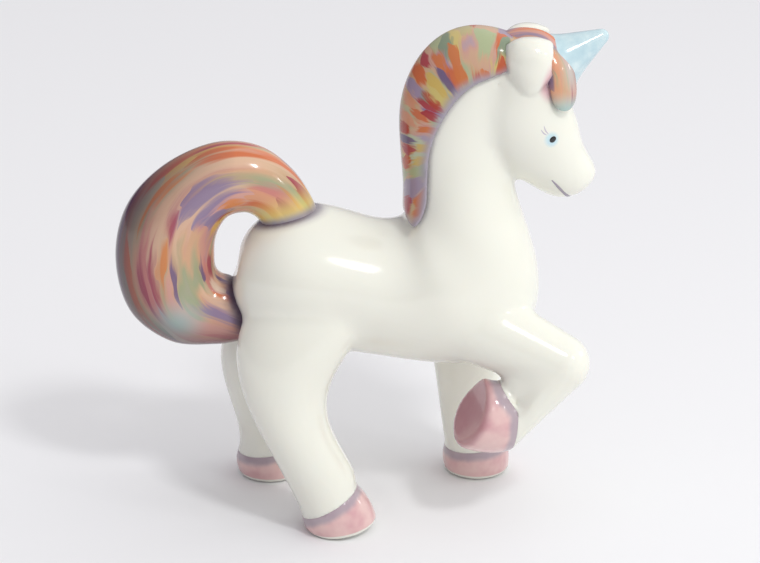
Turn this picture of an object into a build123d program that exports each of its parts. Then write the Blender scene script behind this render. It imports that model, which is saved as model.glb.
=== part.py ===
from build123d import *
import math
import os

# Glazed ceramic unicorn figurine, walking with its right foreleg raised. It is slip-cast in pieces that
# are luted to each other while damp, so each later piece is cut by the ones it sits on and the seats meet
# face to face. Millimetres. While it is modelled, +X points to the head, +Y to the animal's left and +Z
# up, with the hooves on z = 0.
#
# Every rounded form is a loft through ellipses. A section is (x and z of one edge, x and z of the other
# edge, half width across), read off the side view. Where the form stands off the middle plane, its side
# is given too.

WALL = 3.0
VENT_RADIUS = 2.0
VENT_X = -3.0

# Body casting: trunk from rump to chest, turning up into the neck. The first edge follows back and crest,
# the second belly, breast and throat.
RUMP_TIP = (-32.2, 53.0)
CROUP = ((-30.2, 60.5), (-30.8, 46.0), 8.6)
HIP = ((-26.1, 65.9), (-27.2, 42.0), 13.2)
HAUNCH = ((-17.8, 69.3), (-19.5, 39.4), 16.6)
LOIN = ((-8.2, 68.2), (-9.5, 37.4), 16.2)
BARREL = ((0.6, 65.8), (1.0, 35.8), 15.8)
GIRTH = ((5.0, 66.4), (12.5, 34.2), 16.4)
SHOULDER = ((6.2, 69.4), (25.0, 35.4), 16.8)
BREAST = ((6.7, 72.6), (33.4, 43.6), 15.0)
NECK_BASE = ((6.8, 76.6), (34.6, 56.0), 12.8)
NECK_MIDDLE = ((6.5, 82.4), (31.4, 67.4), 10.6)
THROAT = ((6.4, 90.8), (28.9, 76.6), 9.0)
CREST = ((9.1, 99.6), (29.0, 86.0), 8.2)
NAPE = ((15.0, 106.2), (30.4, 94.5), 7.2)
POLL = ((25.4, 107.8), (32.6, 101.4), 5.2)
POLL_TIP = (31.4, 106.4)

# Head casting, from the poll down to the muzzle. The first edge follows forehead and nose, the second jowl
# and chin.
HEAD_TIP = (26.8, 106.4)
HEAD_TOP = ((31.2, 106.9), (21.6, 102.0), 4.8)
FOREHEAD = ((36.0, 105.0), (20.2, 97.4), 7.2)
BROW = ((39.0, 101.3), (19.4, 91.6), 8.7)
EYE_LINE = ((40.1, 95.9), (20.4, 86.0), 9.2)
CHEEK = ((41.7, 90.8), (23.2, 81.6), 8.8)
NOSE = ((43.2, 85.6), (27.2, 78.0), 7.6)
MUZZLE = ((45.5, 80.5), (31.8, 75.2), 6.5)
LIPS = ((46.6, 77.4), (35.6, 73.0), 5.6)
CHIN = ((45.0, 74.4), (38.4, 72.2), 3.6)
MUZZLE_TIP = (42.0, 72.6)

# Tail: the first edge is the outside of the curl and the second its inside; both ends run into the trunk.
TAIL_SECTIONS = [
    ((-11.5, 63.0), (-21.5, 59.0), 5.2),
    ((-14.4, 70.9), (-25.8, 66.2), 6.0),
    ((-19.0, 78.0), (-28.0, 68.2), 6.4),
    ((-26.1, 83.1), (-30.3, 68.4), 6.9),
    ((-35.8, 83.7), (-32.8, 67.4), 7.4),
    ((-46.8, 78.5), (-34.6, 65.0), 8.0),
    ((-54.9, 69.5), (-35.7, 62.0), 8.5),
    ((-57.6, 57.6), (-36.0, 58.6), 8.8),
    ((-54.8, 45.6), (-35.8, 55.4), 8.6),
    ((-46.2, 38.6), (-34.6, 53.7), 8.2),
    ((-36.1, 37.8), (-32.6, 53.0), 7.6),
    ((-28.5, 39.0), (-29.5, 51.2), 6.4),
]

# Standing legs, from a root inside the trunk down to the coronet, with the side of each section last.
# The first edge is the front of the leg and the second its back. The coronet is where the hoof begins.
LEFT_FORELEG = [
    ((25.0, 55.0), (10.5, 54.0), 5.0, 7.0),
    ((27.6, 40.0), (10.8, 38.0), 7.6, 11.6),
    ((27.6, 26.0), (12.7, 25.2), 7.0, 13.9),
    ((27.9, 15.5), (14.0, 15.0), 6.7, 14.8),
    ((29.3, 7.6), (15.3, 6.2), 6.9, 15.2),
]
LEFT_HIND_LEG = [
    ((-9.5, 58.0), (-24.0, 57.0), 5.0, 6.0),
    ((-11.5, 43.0), (-32.0, 41.5), 8.4, 10.8),
    ((-19.8, 31.0), (-36.0, 29.6), 7.8, 12.4),
    ((-19.7, 18.5), (-33.8, 17.5), 6.9, 13.4),
    ((-18.2, 7.6), (-32.4, 5.6), 6.9, 13.6),
]
RIGHT_HIND_LEG = [
    ((-8.5, 58.0), (-24.0, 57.0), 5.0, -6.0),
    ((-5.0, 42.8), (-30.8, 41.4), 8.6, -10.8),
    ((-10.9, 32.0), (-29.4, 30.6), 7.9, -13.0),
    ((-10.4, 23.2), (-25.0, 20.6), 7.2, -14.6),
    ((-5.2, 10.2), (-16.9, 3.5), 7.0, -15.8),
]

# Raised right foreleg: forearm from the shoulder to the knee, cannon folded back and down to the coronet.
SHOULDER_POINT = (19.0, -7.0, 46.0)
SHOULDER_RADIUS = 9.0
KNEE_POINT = (39.0, -12.4, 37.8)
KNEE_RADIUS = 6.6
BEND_POINT = (31.4, -12.2, 33.3)
BEND_RADIUS = 4.8
FETLOCK_POINT = (28.6, -12.8, 24.4)

# Hooves: widest a little under the coronet, drawn in to a rounded edge at the sole.
HOOF_RADIUS = 7.7
SOLE_DRAFT = 0.5
SOLE_RADIUS = HOOF_RADIUS - SOLE_DRAFT
SOLE_EDGE = 1.3
CORONET_STEP = 1.3
FETLOCK_RADIUS = HOOF_RADIUS - CORONET_STEP
LEFT_FORE_SOLE = (22.5, 15.2)
LEFT_HIND_SOLE = (-25.0, 13.6)
# The right hind hoof stands on its heel, toe lifted: sole from toe to heel, the heel ground flat.
RIGHT_HIND_SOLE = ((-0.5, 1.7), (-14.9, -0.7))
# The raised hoof turns its sole back and a little outwards. Its length is a share of the hoof's radius.
RAISED_HOOF_RUN = (-0.94, -0.231, 0.25)
RAISED_HOOF_SHARE = 1.24
RAISED_SOLE_FACING = (-0.83, -0.28, 0.48)
RAISED_CORONET_FACING = (-0.98, -0.18, 0.08)

# Mane: a pad of hair over crest and poll, thinner on the flanks, with a border on each side of the neck.
MANE_THICKNESS = 2.4
MANE_FLANK = 1.3
MANE_BORDER = [(6.8, 67.4), (9.5, 70.6), (10.2, 78.0), (11.2, 86.7), (14.4, 93.4), (19.0, 98.6),
               (26.2, 101.6), (32.0, 104.4)]
MANE_LIP = 2.6
MANE_FRONT = (MANE_BORDER[-1][0] + MANE_LIP, MANE_BORDER[-1][1] + MANE_LIP)
MANE_FOOT = (5.2, 69.0)
MANE_CLEAR = 6.0

# Horn: blunt cone, leaning forwards from the forehead.
HORN_BASE = (39.1, 102.8)
HORN_BASE_RADIUS = 5.5
HORN_TIP_RADIUS = 1.6
HORN_LENGTH = 10.8
HORN_ROOT = 4.0
HORN_RISE = 31.0

# Forelock: sections along its fall beside the horn's right flank (place, half width), tip and thickness.
HORN_FLANK = -HORN_BASE_RADIUS
FORELOCK_FALL = [((27.0, HORN_FLANK + 5.7, 106.4), 2.2), ((31.0, HORN_FLANK + 5.1, 107.0), 2.6),
                 ((34.8, HORN_FLANK + 3.3, 106.0), 3.1), ((37.6, HORN_FLANK + 0.8, 102.2), 3.5),
                 ((38.8, HORN_FLANK - 0.7, 97.0), 3.2)]
FORELOCK_TIP = (39.2, HORN_FLANK - 1.7, 92.6)
FORELOCK_HALF_THICKNESS = 1.7
FORELOCK_FACING = (0.55, -0.75, 0.35)

# Ears: leaf-shaped, hollowed at the front. Sections give height along the ear, half depth and half width.
EAR_BASE = (31.6, 5.7, 95.6)
EAR_SECTIONS = [(0.0, 2.6, 2.4), (4.0, 4.5, 3.0), (8.2, 6.1, 3.1), (11.2, 5.3, 2.6), (12.8, 3.1, 1.5)]
EAR_HEIGHT = 13.3
EAR_LEAN = (0.04, -0.05, 0.97)
EAR_HOLLOW_RADIUS = 2.3
EAR_HOLLOW_HEIGHT = 8.2
EAR_HOLLOW_LENGTH = 4.4


def section(first, second, half_width, side=0.0, inset=0.0, flank_inset=None):
    """Ellipse on the line between two edge points, drawn in by an inset, on the flanks by its own."""
    flank_inset = inset if flank_inset is None else flank_inset
    rise = Vector(first[0] - second[0], 0, first[1] - second[1])
    centre = Vector((first[0] + second[0]) / 2, side, (first[1] + second[1]) / 2)
    plane = Plane(origin=centre, x_dir=rise, z_dir=rise.cross(Vector(0, 1, 0)))
    return plane * Ellipse(rise.length / 2 - inset, half_width - flank_inset)


def disc(point, facing, radius):
    """Round section at a point, square to the way it faces, with its seam turned alike."""
    facing = Vector(facing).normalized()
    across = Vector(0, 1, 0) - facing * facing.Y
    return Plane(origin=point, x_dir=across, z_dir=facing) * Circle(radius)


def rounded_loft(first_tip, stations, last_tip, inset=0.0, flank_inset=0.0):
    """Loft through sections of the middle plane, closed by a point at each end, moved by the inset."""
    rings = [section(*station, inset=inset, flank_inset=flank_inset) for station in stations]
    tips = []
    for point, ring in ((first_tip, rings[0]), (last_tip, rings[-1])):
        end = Vector(point[0], 0, point[1])
        tips.append(Vertex(*(end - (end - ring.center()).normalized() * inset)))
    return loft([tips[0]] + rings + [tips[1]])


def trunk_form(inset=0.0, flank_inset=0.0):
    """Outside of the body casting, or the same form drawn in by an inset."""
    stations = [CROUP, HIP, HAUNCH, LOIN, BARREL, GIRTH, SHOULDER, BREAST,
                NECK_BASE, NECK_MIDDLE, THROAT, CREST, NAPE, POLL]
    return rounded_loft(RUMP_TIP, stations, POLL_TIP, inset, flank_inset)


def cavity_form():
    """Inside of the body casting, one wall in from the trunk and up to the neck."""
    stations = [HIP, HAUNCH, LOIN, BARREL, GIRTH, SHOULDER, BREAST, NECK_BASE, NECK_MIDDLE, THROAT, CREST]
    return loft([section(*station, inset=WALL) for station in stations])


def head_form():
    """Outside of the head, from poll to muzzle."""
    stations = [HEAD_TOP, FOREHEAD, BROW, EYE_LINE, CHEEK, NOSE, MUZZLE, LIPS, CHIN]
    return rounded_loft(HEAD_TIP, stations, MUZZLE_TIP)


def body_casting():
    """Hollow trunk and neck with a vent hole under the belly."""
    vent = Pos(VENT_X, 0, BARREL[1][1] - WALL) * Cylinder(VENT_RADIUS, BARREL[0][1] - BARREL[1][1])
    return trunk_form() - cavity_form() - vent


def leg_form(stations):
    """Standing leg down to its coronet."""
    return loft([section(*station) for station in stations])


def flat_hoof(coronet, sole):
    """Hoof between a leg's coronet and a flat sole on the floor."""
    middle = (coronet[0][0] + coronet[1][0]) / 2
    height = (coronet[0][1] + coronet[1][1]) / 4
    girth = ((middle + HOOF_RADIUS, height), (middle - HOOF_RADIUS, height), HOOF_RADIUS, sole[1])
    base = ((sole[0] + SOLE_RADIUS, 0), (sole[0] - SOLE_RADIUS, 0), SOLE_RADIUS, sole[1])
    body = loft([section(*coronet), section(*girth), section(*base)])
    return fillet(body.edges().sort_by(Axis.Z)[0], SOLE_EDGE)


def heel_hoof(coronet):
    """Right hind hoof, sole tilted toe up and the heel ground flat on the floor."""
    toe, heel = RIGHT_HIND_SOLE
    front, back = coronet[0], coronet[1]
    middle = ((front[0] + toe[0] + back[0] + heel[0]) / 4, (front[1] + toe[1] + back[1] + heel[1]) / 4)
    slope = Vector(toe[0] - heel[0] + front[0] - back[0], 0, toe[1] - heel[1] + front[1] - back[1])
    half = HOOF_RADIUS * slope.normalized()
    girth = ((middle[0] + half.X, middle[1] + half.Z), (middle[0] - half.X, middle[1] - half.Z))
    sections = [section(*coronet), section(*girth, HOOF_RADIUS, coronet[3]),
                section(toe, heel, SOLE_RADIUS, coronet[3])]
    body = fillet(loft(sections).edges().sort_by(Axis.Z)[0], SOLE_EDGE)
    reach = 4 * HOOF_RADIUS
    return body - Pos(middle[0], coronet[3], -reach / 2) * Box(reach, reach, reach)


def raised_leg_form():
    """Forearm, knee and folded cannon of the raised foreleg."""
    shoulder, knee, fetlock = Vector(SHOULDER_POINT), Vector(KNEE_POINT), Vector(FETLOCK_POINT)
    arm = knee - shoulder
    forearm = loft([disc(shoulder, arm, SHOULDER_RADIUS), disc(knee, arm, KNEE_RADIUS)])
    fold = (fetlock - knee).normalized()
    cannon = loft([disc(knee, fold, KNEE_RADIUS), disc(fetlock, RAISED_CORONET_FACING, FETLOCK_RADIUS)])
    return forearm + cannon + Pos(knee) * Sphere(KNEE_RADIUS) + Pos(BEND_POINT) * Sphere(BEND_RADIUS)


def raised_hoof():
    """Hoof of the raised foreleg, sole turned back."""
    fetlock = Vector(FETLOCK_POINT)
    sole = fetlock + Vector(RAISED_HOOF_RUN).normalized() * RAISED_HOOF_SHARE * HOOF_RADIUS
    facing = (Vector(RAISED_SOLE_FACING) + Vector(RAISED_CORONET_FACING)).normalized()
    body = loft([
        disc(fetlock, RAISED_CORONET_FACING, FETLOCK_RADIUS),
        disc((sole + fetlock) / 2, facing, HOOF_RADIUS),
        disc(sole, RAISED_SOLE_FACING, SOLE_RADIUS),
    ])
    return fillet(body.edges().sort_by_distance(sole)[0], SOLE_EDGE)


def mane_form():
    """Pad of hair over the crest: the fattened neck inside the mane's border."""
    border = Spline(*[(x, z) for x, z in MANE_BORDER])
    last, first = MANE_BORDER[-1], MANE_BORDER[0]
    top = MANE_FRONT[1] + MANE_CLEAR
    back = MANE_FOOT[0] - MANE_CLEAR
    behind = (back, MANE_FOOT[1] + MANE_CLEAR)
    outline = Polyline(last, MANE_FRONT, (MANE_FRONT[0], top), (back, top), behind, MANE_FOOT, first)
    side = Plane.XZ * make_face(Curve() + [border, outline])
    slab = extrude(side, amount=2 * LOIN[2], both=True)
    return trunk_form(-MANE_THICKNESS, -MANE_FLANK) & slab


def forelock_form():
    """Lock of hair along its fall, flat against the forehead."""
    path = Spline(*[place for place, half_width in FORELOCK_FALL], FORELOCK_TIP)
    rings = []
    for place, half_width in FORELOCK_FALL:
        run = path.tangent_at(path.param_at_point(place))
        plane = Plane(origin=place, x_dir=run.cross(Vector(FORELOCK_FACING)), z_dir=run)
        rings.append(plane * Ellipse(half_width, FORELOCK_HALF_THICKNESS))
    return loft(rings + [Vertex(*FORELOCK_TIP)])


def horn_form():
    """Blunt cone turned about its own axis, its flank tangent to the round tip."""
    rise = HORN_LENGTH - HORN_TIP_RADIUS
    flank = math.hypot(rise, HORN_BASE_RADIUS)
    lean = math.atan2(-rise, HORN_BASE_RADIUS) + math.acos(HORN_TIP_RADIUS / flank)
    touch = (HORN_TIP_RADIUS * math.cos(lean), rise + HORN_TIP_RADIUS * math.sin(lean))
    crown = CenterArc((0, rise), HORN_TIP_RADIUS, math.degrees(lean), 90 - math.degrees(lean))
    root = (HORN_BASE_RADIUS, -HORN_ROOT)
    sides = Polyline((0, HORN_LENGTH), (0, -HORN_ROOT), root, (HORN_BASE_RADIUS, 0), touch)
    cone = revolve(Plane.XZ * make_face(Curve() + [crown, sides]), Axis.Z)
    return Pos(HORN_BASE[0], 0, HORN_BASE[1]) * Rot(0, 90 - HORN_RISE, 0) * cone


def ear_form(side):
    """Ear on the left (1) or the right (-1), leaning out, with its hollow to the front."""
    base = Vector(EAR_BASE[0], side * EAR_BASE[1], EAR_BASE[2])
    up = Vector(EAR_LEAN[0], side * EAR_LEAN[1], EAR_LEAN[2])
    frame = Plane(origin=base, x_dir=Vector(1, 0, 0), z_dir=up)
    rings = [frame.offset(height) * Ellipse(depth, width) for height, depth, width in EAR_SECTIONS]
    leaf = loft(rings + [Vertex(*(base + up.normalized() * EAR_HEIGHT))])
    hollow = frame * Pos(EAR_SECTIONS[2][1], 0, EAR_HOLLOW_HEIGHT) * scale(
        Sphere(EAR_HOLLOW_RADIUS), by=(1.2, 1, EAR_HOLLOW_LENGTH / EAR_HOLLOW_RADIUS))
    return leaf - hollow


def largest(shape):
    """The piece itself, without crumbs cut off beside its seat."""
    return shape.solids().sort_by(SortBy.VOLUME)[-1]


def build():
    """All pieces, each cut by the pieces that it seats on."""
    trunk, head = trunk_form(), head_form()
    pieces = {"body_casting": body_casting(), "head_casting": head - trunk}
    legs = {"left_foreleg": LEFT_FORELEG, "left_hind_leg": LEFT_HIND_LEG, "right_hind_leg": RIGHT_HIND_LEG}
    for name, stations in legs.items():
        pieces[name] = leg_form(stations) - trunk
    pieces["right_foreleg"] = raised_leg_form() - trunk
    pieces["left_fore_hoof"] = flat_hoof(LEFT_FORELEG[-1], LEFT_FORE_SOLE)
    pieces["left_hind_hoof"] = flat_hoof(LEFT_HIND_LEG[-1], LEFT_HIND_SOLE)
    pieces["right_hind_hoof"] = heel_hoof(RIGHT_HIND_LEG[-1])
    pieces["right_fore_hoof"] = raised_hoof() - pieces["right_foreleg"] - trunk
    curl = loft([section(*station) for station in TAIL_SECTIONS])
    pieces["tail"] = curl - trunk - pieces["left_hind_leg"] - pieces["right_hind_leg"]
    for name, side in (("left_ear", 1), ("right_ear", -1)):
        pieces[name] = ear_form(side) - head - trunk
    ears = [pieces["left_ear"], pieces["right_ear"]]
    pieces["mane"] = mane_form() - trunk - head - ears
    pieces["horn"] = horn_form() - head - trunk - pieces["mane"] - ears
    pieces["forelock"] = forelock_form() - head - trunk - pieces["mane"] - ears - pieces["horn"]
    return pieces


os.makedirs("parts", exist_ok=True)
assembly = build()
boxes = [shape.bounding_box() for shape in assembly.values()]
middle_x = (min(b.min.X for b in boxes) + max(b.max.X for b in boxes)) / 2
middle_y = (min(b.min.Y for b in boxes) + max(b.max.Y for b in boxes)) / 2
to_origin = Pos(-middle_x, -middle_y, -min(b.min.Z for b in boxes))
for node, shape in assembly.items():
    export_step(to_origin * largest(shape), f"parts/{node}.step")
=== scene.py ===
"""Looks of a small glazed ceramic unicorn, walking with its right foreleg raised.

Sizes in the property groups are metres, as in Blender. Tables of points are millimetres in the drawing's own frame,
whose origin lies at DRAWING_ORIGIN of the part's frame.
"""

import math

import bmesh
import bpy
import numpy as np
from bpy.props import FloatProperty, FloatVectorProperty, IntProperty, PointerProperty
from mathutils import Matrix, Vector
from mathutils.bvhtree import BVHTree


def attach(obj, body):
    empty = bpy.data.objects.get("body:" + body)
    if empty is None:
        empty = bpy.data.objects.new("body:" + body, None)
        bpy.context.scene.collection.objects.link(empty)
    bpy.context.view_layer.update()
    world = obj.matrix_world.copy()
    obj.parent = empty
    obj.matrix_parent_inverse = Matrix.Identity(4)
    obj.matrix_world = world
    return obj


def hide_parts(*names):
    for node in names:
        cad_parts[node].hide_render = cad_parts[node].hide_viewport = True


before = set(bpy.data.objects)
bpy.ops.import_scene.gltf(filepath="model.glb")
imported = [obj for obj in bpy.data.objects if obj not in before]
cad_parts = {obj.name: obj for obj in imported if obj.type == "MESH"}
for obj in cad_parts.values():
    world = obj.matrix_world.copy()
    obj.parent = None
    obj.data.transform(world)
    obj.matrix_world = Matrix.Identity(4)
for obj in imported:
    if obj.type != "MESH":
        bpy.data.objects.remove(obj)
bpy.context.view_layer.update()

bl_info = {
    "name": "Glazed unicorn figurine",
    "version": (1, 0, 0),
    "blender": (4, 5, 0),
    "location": "View3D > Sidebar > Figurine",
    "description": "Builds the glazed looks of a ceramic unicorn around its solids",
    "category": "Object",
}

MM = 0.001
BODY = "root"
DRAWING_ORIGIN = np.array([4.508, 0.321, 0.0])
SKIN_NODES = ("body_casting", "head_casting", "left_ear", "right_ear",
              "left_foreleg", "right_foreleg", "left_hind_leg", "right_hind_leg")
# Each hoof: its sole's middle and facing, and the planes that part it from its leg, as a point and the way to the hoof.
# The first plane is the coronet. The raised hoof has one more, where the folded leg comes close above it.
HOOVES = {
    "left_fore_hoof": ((22.5, 15.2, 0.0), (0.0, 0.0, -1.0), [((22.3, 15.2, 6.9), (0.0995, 0.0, -0.995))]),
    "left_hind_hoof": ((-25.0, 13.6, 0.0), (0.0, 0.0, -1.0), [((-25.3, 13.6, 6.6), (0.139, 0.0, -0.99))]),
    "right_hind_hoof": ((-7.7, -15.8, 0.5), (0.164, 0.0, -0.986), [((-11.05, -15.8, 6.85), (0.497, 0.0, -0.868))]),
    "right_fore_hoof": ((19.62, -15.0, 26.79), (-0.83, -0.28, 0.48), [((28.6, -12.8, 24.4), (-0.98, -0.18, 0.08)),
                                                                     ((27.6, -12.8, 31.8), (-0.8, 0.0, -0.6))]),
}
# Sections of the tail: outer edge, inner edge (x, z), half width.
TAIL_SECTIONS = np.array([
    (-11.5, 63.0, -21.5, 59.0, 5.2), (-14.4, 70.9, -25.8, 66.2, 6.0), (-19.0, 78.0, -28.0, 68.2, 6.4),
    (-26.1, 83.1, -30.3, 68.4, 6.9), (-35.8, 83.7, -32.8, 67.4, 7.4), (-46.8, 78.5, -34.6, 65.0, 8.0),
    (-54.9, 69.5, -35.7, 62.0, 8.5), (-57.6, 57.6, -36.0, 58.6, 8.8), (-54.8, 45.6, -35.8, 55.4, 8.6),
    (-46.2, 38.6, -34.6, 53.7, 8.2), (-36.1, 37.8, -32.6, 53.0, 7.6), (-28.5, 39.0, -29.5, 51.2, 6.4),
])
# Border of the mane on the neck (x, z), the middle that its strokes fan out from, and the middle of the neck below.
MANE_BORDER = np.array([(5.1, 68.7), (7.1, 67.8), (9.4, 70.3), (10.2, 75.9), (10.2, 81.6), (11.2, 86.7), (13.3, 91.1),
                        (15.1, 94.8), (17.2, 97.7), (21.0, 99.9), (26.2, 100.7), (32.0, 104.4)])
MANE_MIDDLE = np.array([22.0, 0.0, 88.0])
# Forelock: places along its fall with half width and half thickness, and the way that its flat side faces.
FORELOCK_FALL = np.array([
    (26.0, 0.2, 105.8, 0.2, 0.2), (27.2, 0.2, 106.4, 2.2, 1.5), (31.0, -0.4, 107.0, 2.6, 1.7),
    (34.8, -2.2, 106.0, 3.1, 2.1), (37.5, -4.6, 102.2, 3.5, 2.4), (38.7, -6.0, 98.2, 3.3, 2.0),
    (39.0, -6.7, 95.2, 2.8, 1.5), (39.1, -7.0, 93.7, 1.6, 0.9), (39.1, -7.05, 93.2, 0.3, 0.3),
])
FORELOCK_FACING = np.array([0.55, -0.75, 0.35])
HORN_BASE = np.array([39.1, 0.0, 102.8])
HORN_RISE = math.radians(31.0)
# Horn: how far it goes on into the forehead, where its straight flank ends below, and the flare at its foot: how far
# it stands out, where it starts and how fast it falls off.
HORN_ROOT = -4.0
HORN_FLANK_END = -1.5
HORN_FLARE, HORN_FLARE_START, HORN_FLARE_FALL = 0.7, -0.5, 1.2
# Lavender band at the foot of the horn: full up to the first height, gone at the second.
HORN_BAND = (-3.4, -1.6)
# Eye seen from the side (x, z), its distance from the middle of the head, and a distance well clear of the head.
EYE = (36.7, 87.2)
EYE_ASIDE = 8.6
CLEAR_ASIDE = 30.0
# Mouth and lash lines of the right side.
MOUTH = [(36.8, -6.5, 77.6), (38.6, -5.6, 75.6), (40.3, -4.2, 73.6), (40.9, -2.0, 72.6), (41.0, 0.0, 72.4)]
LASHES = [[(34.9, -9.0, 90.4), (35.3, -9.0, 89.3), (36.0, -9.0, 88.5)],
          [(34.2, -9.0, 89.6), (34.8, -9.0, 88.8), (35.6, -9.0, 88.3)]]
# Hollow of the left ear: middle, stretch and radius of its ball, and the share of slip that gets into it.
EAR_HOLLOW = (34.6, 5.4, 103.7)
EAR_HOLLOW_STRETCH = (1.0, 1.0, 1.7)
EAR_HOLLOW_RADIUS = 3.4
EAR_HOLLOW_SLIP = 0.04
# Blush in the left ear: middle, radius, and height against width.
EAR_PINK = (36.0, 7.4, 100.0)
EAR_PINK_RADIUS = 2.8
EAR_PINK_TALL = 1.6
# Balls on the left of the head that hold slip back, at jowl and ear: middle, stretch, radius, width of the change
# outside it, and the share of slip inside it.
HELD_BACK = (((23.5, 8.0, 84.0), (1.0, 0.8, 1.2), 5.0, 4.0, 0.25),
             ((31.6, 6.5, 102.0), (1.2, 1.0, 1.2), 5.6, 2.0, 0.05))
# Ball on the left of the nape that takes more slip: middle, radius, width of the change inside it, share of slip.
NAPE = (25.5, 7.5, 93.0)
NAPE_RADIUS, NAPE_CHANGE, NAPE_SLIP = 7.5, 2.0, 1.6
# Outer side of an ear: middle (x, z), half width and half height, how far it swells, how much narrower its foot is,
# and how far from the middle of the head the swelling starts and over what width it grows.
EAR_EGG = (31.9, 103.4, 5.5, 6.5)
EAR_SWELL = 2.0
EAR_TAPER = 0.3
EAR_SIDE, EAR_SIDE_CHANGE = 4.5, 1.5
# Flank: middle (x, z) and reach of its bell, how far it swells, and where from the middle that starts and grows.
FLANK = (-5.0, 59.0)
FLANK_REACH = (10.0, 17.0)
FLANK_SWELL = 0.8
FLANK_SIDE, FLANK_SIDE_CHANGE = 5.0, 5.0
# Vent under the belly: place, and the radius and height round it that slip keeps clear of.
VENT = (-3.0, 0.0, 36.0)
VENT_CLEAR, VENT_HEIGHT = 4.5, 6.0
# Farthest point of a hoof from the middle of its sole.
HOOF_REACH = 17.0
# Drop of the raised hoof: height where it starts and over which it grows, the top that it is drawn to (x, y), the
# shares that it is drawn by, how far it is lifted, and the width beside the leg over which it keeps its place.
DROP_FROM, DROP_HEIGHT = 26.0, 8.0
DROP_TOP = (22.6, -14.5)
DROP_DRAW = (0.55, 0.4)
DROP_BEND = 1.5
DROP_LIFT = 1.6
DROP_KEPT = 3.0
# Mane: height below which its foot melts and over which that grows, the radii that turn angles round and over the
# crest into lengths, and the painted shade along the crest: half width, height below which it shows, growth, strength.
MANE_FOOT, MANE_FOOT_CHANGE = 79.0, 8.0
MANE_RADII = (17.0, 14.0)
CREST_SHADE_WIDTH, CREST_BELOW, CREST_CHANGE, CREST_DEPTH = 4.0, 100.0, 12.0, 0.5
MELT_ROUNDS = 24
# Outlines on the skin: the piece beside it, width and strength. Painted shade under the tail: width, strength, height
# below which it shows and over which it grows.
OUTLINES = (("tail_glaze", 3.2, 0.85), ("mane_glaze", 1.2, 0.6), ("forelock_glaze", 1.2, 0.5), ("horn_glaze", 1.4, 0.5))
UNDER_TAIL, UNDER_TAIL_DEPTH, UNDER_TAIL_BELOW, UNDER_TAIL_CHANGE = 1.9, 0.8, 72.0, 4.0
# Stage: what the camera looks at, softboxes with azimuth and elevation in degrees, side in metres and power in watts,
# their distance and the camera's, the camera's rise in degrees, its lens and the half side of the floor.
TARGET = (0.15, 0.0, 52.0)
SOFTBOXES = (("front_box", 34.0, 50.0, 0.12, 2.0), ("side_box", 62.0, 30.0, 0.06, 0.3),
             ("rim_box", 105.0, 18.0, 0.12, 0.4))
BOX_DISTANCE, CAMERA_DISTANCE = 0.9, 0.56
CAMERA_RISE, CAMERA_LENS, CAMERA_SENSOR = 21.0, 121.0, 36.0
FLOOR_REACH = 4.0
# Room: colour low on the left and high on the right, weight of height against right, and where the change runs.
ROOM_DIM, ROOM_BRIGHT = (0.1, 0.07, 0.12, 1), (1.0, 1.0, 1.0, 1)
ROOM_LIFT, ROOM_FROM, ROOM_TO, ROOM_STRENGTH = 1.5, -0.7, 1.4, 0.98
# Base colour under the rainbow strokes.
RAINBOW_BASE = (0.8, 0.6, 0.5)


def linear(code):
    """Linear red, green and blue of an sRGB hex value."""
    share = np.array([int(code[i:i + 2], 16) for i in (0, 2, 4)]) / 255.0
    return tuple(np.where(share <= 0.04045, share / 12.92, ((share + 0.055) / 1.055) ** 2.4).tolist())


def colour(name, description, code):
    """Colour property with that default."""
    return FloatVectorProperty(name=name, description=description, subtype="COLOR", size=3, min=0, max=1,
                               default=linear(code))


def length(name, description, millimetres):
    """Length property with that default in millimetres."""
    return FloatProperty(name=name, description=description, unit="LENGTH", default=millimetres * MM, min=0)


class FigurineSizes(bpy.types.PropertyGroup):
    """Sizes of the figurine's glaze and relief"""
    grain: length("Skin grain", "Spacing of the points of the white skin", 0.6)
    hair_grain: length("Mane grain", "Spacing of the points of the mane", 0.5)
    fillet_rounds: IntProperty(name="Slip rounds", description="How far slip fills the creases", default=70, min=0)
    eye_halo: length("Eye halo", "Radius of the pale ring round an eye", 1.75)
    pupil: length("Pupil", "Half length of the black of an eye", 0.8)
    mouth_width: length("Mouth line", "Half width of the mouth line", 0.5)
    lash_width: length("Lash line", "Half width of the lash lines", 0.12)
    dab_width: length("Dab width", "Width of a brush dab on the mane", 3.3)
    dab_length: length("Dab length", "Length of a brush dab on the mane", 5.5)
    streak_width: length("Streak width", "Width of a brush streak on the tail", 3.4)
    streak_length: length("Streak length", "Length of a brush streak on the tail", 20.0)
    border: length("Border", "Width of the lavender border of mane and tail", 1.6)
    coronet_band: length("Coronet band", "Width of the lavender band above a hoof", 1.7)
    bare_rim: length("Bare rim", "Width of the white rim at a sole", 1.2)
    horn_radius: length("Horn radius", "Radius at the foot of the horn", 5.5)
    horn_tip: length("Horn tip", "Radius of the horn's round tip", 1.6)
    horn_length: length("Horn length", "From the foot of the horn to its tip", 10.8)


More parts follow.
